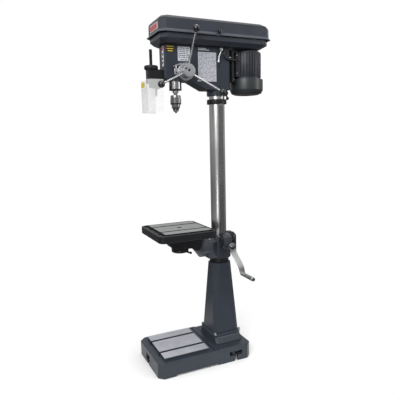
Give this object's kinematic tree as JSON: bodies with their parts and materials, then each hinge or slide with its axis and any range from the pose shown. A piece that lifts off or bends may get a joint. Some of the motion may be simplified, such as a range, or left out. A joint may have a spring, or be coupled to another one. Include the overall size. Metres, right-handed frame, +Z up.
{
  "type": "floor drill press",
  "caption": "Floor-standing drill press: cast base and pedestal, round column with a geared table, belt head with a quill feed, chuck guard and rear motor.",
  "frame": {"origin": "floor point under the column's axis", "axes": "+Z up along the column; -Y towards the operator's front; +X to the operator's right, the feed handle's side"},
  "size_m": [0.431, 0.687, 1.719],
  "materials": {
    "body_paint": "dark blue-grey enamel over cast iron",
    "sheet_paint": "dark blue-grey enamel over pressed sheet",
    "black_paint": "black enamel over cast iron",
    "black_steel": "blackened steel",
    "table_iron": "black enamel with a ground top",
    "column_steel": "polished steel tube",
    "bright_steel": "turned and brushed steel",
    "chrome": "bright plated",
    "pulley_alloy": "turned alloy",
    "hub_alloy": "satin cast alloy",
    "motor_paint": "dark grey paint over cast alloy",
    "cowl_paint": "dark green-grey paint over pressed sheet",
    "black_plastic": "black moulded plastic",
    "knob_plastic": "black phenolic",
    "red_plastic": "red moulded plastic",
    "green_plastic": "green moulded plastic",
    "guard_clear": "clear polycarbonate",
    "belt_rubber": "black belt rubber",
    "cable_rubber": "black cable sheath"
  },
  "bodies": {
    "stand": {"base_casting": "body_paint", "pedestal": "body_paint", "column": "column_steel", "lower_rack_ring": "black_paint", "upper_rack_ring": "black_paint", "head_casting": "body_paint", "pulley_pan": "sheet_paint", "idler_post": "bright_steel", "front_belt": "belt_rubber", "rear_belt": "belt_rubber", "spring_cover": "sheet_paint", "return_spring": "bright_steel", "guard_bracket": "black_plastic", "guard_ring": "black_plastic", "switch_box": "black_plastic", "motor_cable": "cable_rubber"},
    "rack_body": {"rack": "black_steel"},
    "bracket": {"table_bracket": "black_paint"},
    "lift_pinion": {"table_pinion": "bright_steel"},
    "crank": {"crank_worm": "bright_steel", "crank_arm": "chrome"},
    "grip": {"crank_grip": "bright_steel"},
    "arm": {"table_arm": "black_paint"},
    "table_body": {"table": "table_iron"},
    "table_lock_body": {"table_lock": "black_steel"},
    "column_lock": {"column_lock_lever": "black_steel"},
    "head_lock": {"head_lock_lever": "black_steel"},
    "cover": {"belt_cover": "sheet_paint", "cover_knob": "knob_plastic"},
    "spindle_drive": {"spindle_pulley": "pulley_alloy"},
    "idler": {"idler_pulley": "pulley_alloy"},
    "rotor": {"motor_pulley": "pulley_alloy"},
    "carriage": {"slide_bar_left": "bright_steel", "slide_bar_right": "bright_steel", "motor_plate": "black_paint", "motor_body": "motor_paint", "fan_cowl": "cowl_paint"},
    "tension": {"tension_lever": "chrome"},
    "quill_body": {"quill": "bright_steel"},
    "spindle_body": {"spindle": "bright_steel", "chuck_body": "bright_steel"},
    "sleeve": {"chuck_sleeve": "bright_steel"},
    "jaw_a": {"chuck_jaw_1": "bright_steel"},
    "jaw_b": {"chuck_jaw_2": "bright_steel"},
    "jaw_c": {"chuck_jaw_3": "bright_steel"},
    "feed": {"pinion_shaft": "bright_steel", "feed_hub": "hub_alloy", "spoke_1": "chrome", "knob_1": "knob_plastic", "spoke_2": "chrome", "knob_2": "knob_plastic", "spoke_3": "chrome", "knob_3": "knob_plastic"},
    "collar": {"depth_collar": "hub_alloy"},
    "guard": {"guard_rod": "black_steel", "guard_arm": "black_steel"},
    "shield": {"guard_shield": "guard_clear"},
    "stop": {"stop_button": "red_plastic"},
    "start": {"start_button": "green_plastic"}
  },
  "joints": [
    {"name": "rack_swivel", "type": "hinge", "parent": "stand", "child": "rack_body", "pos_m": [0, 0, 0.9], "axis": [0, 0, 1], "range_deg": [-90, 90]},
    {"name": "table_lift", "type": "slide", "parent": "rack_body", "child": "bracket", "axis": [0, 0, 1], "range_m": [0, 0.382]},
    {"name": "lift_pinion_turn", "type": "hinge", "parent": "bracket", "child": "lift_pinion", "pos_m": [0.0634, 0.01, 0.63], "axis": [0, -1, 0], "range_deg": [0, 1459]},
    {"name": "crank_turn", "type": "hinge", "parent": "bracket", "child": "crank", "pos_m": [0.1, 0.0155, 0.603], "axis": [-1, 0, 0], "range_deg": [0, 29160]},
    {"name": "grip_turn", "type": "hinge", "parent": "crank", "child": "grip", "pos_m": [0.2, 0.04968, 0.46415], "axis": [1, 0, 0], "continuous": true},
    {"name": "table_tilt", "type": "hinge", "parent": "bracket", "child": "arm", "pos_m": [0, -0.09, 0.592], "axis": [0, 1, 0], "range_deg": [-45, 45]},
    {"name": "table_rotate", "type": "hinge", "parent": "arm", "child": "table_body", "pos_m": [0, -0.226, 0.65], "axis": [0, 0, 1], "range_deg": [-18, 18]},
    {"name": "table_lock_turn", "type": "hinge", "parent": "arm", "child": "table_lock_body", "pos_m": [0, -0.226, 0.58], "axis": [0, 0, 1], "range_deg": [-35, 8]},
    {"name": "column_lock_turn", "type": "hinge", "parent": "bracket", "child": "column_lock", "pos_m": [-0.03, 0.074, 0.606], "axis": [1, 0, 0], "range_deg": [-40, 40]},
    {"name": "head_lock_turn", "type": "hinge", "parent": "stand", "child": "head_lock", "pos_m": [0.05, 0.022, 1.378], "axis": [1, 0, 0], "range_deg": [-35, 35]},
    {"name": "cover_hinge", "type": "hinge", "parent": "stand", "child": "cover", "pos_m": [-0.109, -0.03, 1.642], "axis": [0, -1, 0], "range_deg": [0, 95]},
    {"name": "motor_spin", "type": "hinge", "parent": "carriage", "child": "rotor", "pos_m": [0, 0.177, 1.6], "axis": [0, 0, 1], "continuous": true},
    {"name": "idler_spin", "type": "hinge", "parent": "stand", "child": "idler", "pos_m": [0, -0.025, 1.65], "axis": [0, 0, 1], "continuous": true},
    {"name": "pulley_spin", "type": "hinge", "parent": "stand", "child": "spindle_drive", "pos_m": [0, -0.226, 1.65], "axis": [0, 0, 1], "continuous": true},
    {"name": "quill_slide", "type": "slide", "parent": "stand", "child": "quill_body", "axis": [0, 0, -1], "range_m": [0, 0.078], "stiffness_N_per_m": 600, "springref_m": -0.22},
    {"name": "spindle_spin", "type": "hinge", "parent": "quill_body", "child": "spindle_body", "pos_m": [0, -0.226, 1.5], "axis": [0, 0, 1], "continuous": true},
    {"name": "sleeve_turn", "type": "hinge", "parent": "spindle_body", "child": "sleeve", "pos_m": [0, -0.226, 1.345], "axis": [0, 0, 1], "range_deg": [0, 720]},
    {"name": "jaw_a_slide", "type": "slide", "parent": "spindle_body", "child": "jaw_a", "axis": [0.2588, 0, 0.9659], "range_m": [0, 0.0102]},
    {"name": "jaw_b_slide", "type": "slide", "parent": "spindle_body", "child": "jaw_b", "axis": [-0.1294, 0.2241, 0.9659], "range_m": [0, 0.0102]},
    {"name": "jaw_c_slide", "type": "slide", "parent": "spindle_body", "child": "jaw_c", "axis": [-0.1294, -0.2241, 0.9659], "range_m": [0, 0.0102]},
    {"name": "feed_turn", "type": "hinge", "parent": "stand", "child": "feed", "pos_m": [0.07, -0.19, 1.475], "axis": [1, 0, 0], "range_deg": [0, 350]},
    {"name": "collar_turn", "type": "hinge", "parent": "feed", "child": "collar", "pos_m": [0.05, -0.19, 1.475], "axis": [1, 0, 0], "range_deg": [-150, 150]},
    {"name": "motor_carriage", "type": "slide", "parent": "stand", "child": "carriage", "axis": [0, 1, 0], "range_m": [-0.009, 0]},
    {"name": "tension_turn", "type": "hinge", "parent": "stand", "child": "tension", "pos_m": [0.053, 0, 1.588], "axis": [1, 0, 0], "range_deg": [-60.5, 0]},
    {"name": "guard_height", "type": "slide", "parent": "stand", "child": "guard", "axis": [0, 0, 1], "range_m": [-0.09, 0]},
    {"name": "guard_swing", "type": "hinge", "parent": "guard", "child": "shield", "pos_m": [-0.071, -0.301, 1.4], "axis": [0, 0, 1], "range_deg": [-110, 0]},
    {"name": "stop_press", "type": "slide", "parent": "stand", "child": "stop", "axis": [1, 0, 0], "range_m": [0, 0.003], "stiffness_N_per_m": 600, "springref_m": -0.002},
    {"name": "start_press", "type": "slide", "parent": "stand", "child": "start", "axis": [1, 0, 0], "range_m": [0, 0.003], "stiffness_N_per_m": 600, "springref_m": -0.002}
  ],
  "couplings": [
    {"joint": "table_lift", "follows": "crank_turn", "m_per_rad": 0.00075},
    {"joint": "lift_pinion_turn", "follows": "crank_turn", "ratio": 0.05},
    {"joint": "feed_turn", "follows": "quill_slide", "rad_per_m": 78.125},
    {"joint": "idler_spin", "follows": "motor_spin", "ratio": 0.61538},
    {"joint": "pulley_spin", "follows": "motor_spin", "ratio": 0.47337},
    {"joint": "spindle_spin", "follows": "motor_spin", "ratio": 0.47337},
    {"joint": "tension_turn", "follows": "motor_carriage", "rad_per_m": 116.36},
    {"joint": "jaw_a_slide", "follows": "sleeve_turn", "m_per_rad": 0.0008},
    {"joint": "jaw_b_slide", "follows": "sleeve_turn", "m_per_rad": 0.0008},
    {"joint": "jaw_c_slide", "follows": "sleeve_turn", "m_per_rad": 0.0008}
  ]
}
